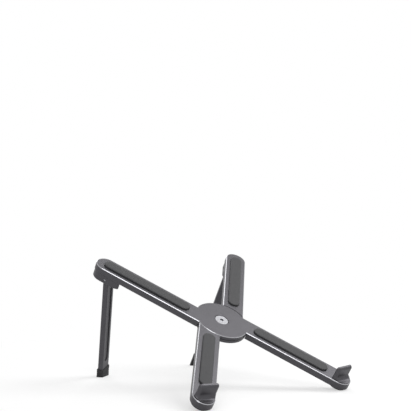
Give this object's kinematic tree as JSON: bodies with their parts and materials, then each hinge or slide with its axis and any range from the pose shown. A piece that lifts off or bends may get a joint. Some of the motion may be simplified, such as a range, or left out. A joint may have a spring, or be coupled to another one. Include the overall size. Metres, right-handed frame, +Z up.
{
  "type": "folding laptop stand",
  "caption": "Folding laptop stand: crossed aluminium bars on a central pivot, with lips at the front ends, silicone strips and folding rear legs.",
  "frame": {"origin": "on the table, under the middle of the open stand's box", "axes": "+X to the user's right, +Y to the rear, +Z up"},
  "size_m": [0.2002, 0.2394, 0.1344],
  "materials": {
    "anodised": "satin dark grey anodised, fine grain",
    "silicone": "soft matt silicone",
    "rubber": "matt rubber",
    "steel": "turned steel",
    "nylon": "matt"
  },
  "bodies": {
    "left_frame": {"left_bar": "anodised", "left_front_pad": "silicone", "right_rear_pad": "silicone", "left_lip_liner": "silicone", "left_front_foot": "rubber", "pivot_barrel": "steel", "pivot_screw": "steel", "pivot_spring_washer": "steel", "pivot_friction_washer": "nylon", "stop_pin": "steel", "right_leg_pin": "steel", "right_leg_washers": "nylon"},
    "right_frame": {"right_bar": "anodised", "right_front_pad": "silicone", "left_rear_pad": "silicone", "right_lip_liner": "silicone", "right_front_foot": "rubber", "left_leg_pin": "steel", "left_leg_washers": "nylon"},
    "left_leg": {"left_leg": "anodised", "left_leg_boot": "rubber"},
    "right_leg": {"right_leg": "anodised", "right_leg_boot": "rubber"}
  },
  "joints": [
    {"name": "scissor", "type": "hinge", "parent": "left_frame", "child": "right_frame", "pos_m": [0, -0.02031, 0.06753], "axis": [0, -0.5505, 0.8348], "range_deg": [-70.4, 0]},
    {"name": "left_leg_fold", "type": "hinge", "parent": "right_frame", "child": "left_leg", "pos_m": [-0.08474, 0.06739, 0.11494], "axis": [0.8171, 0.4812, 0.3173], "range_deg": [-75, 0]},
    {"name": "right_leg_fold", "type": "hinge", "parent": "left_frame", "child": "right_leg", "pos_m": [0.08474, 0.06739, 0.11494], "axis": [0.8171, -0.4812, -0.3173], "range_deg": [-75, 0]}
  ]
}
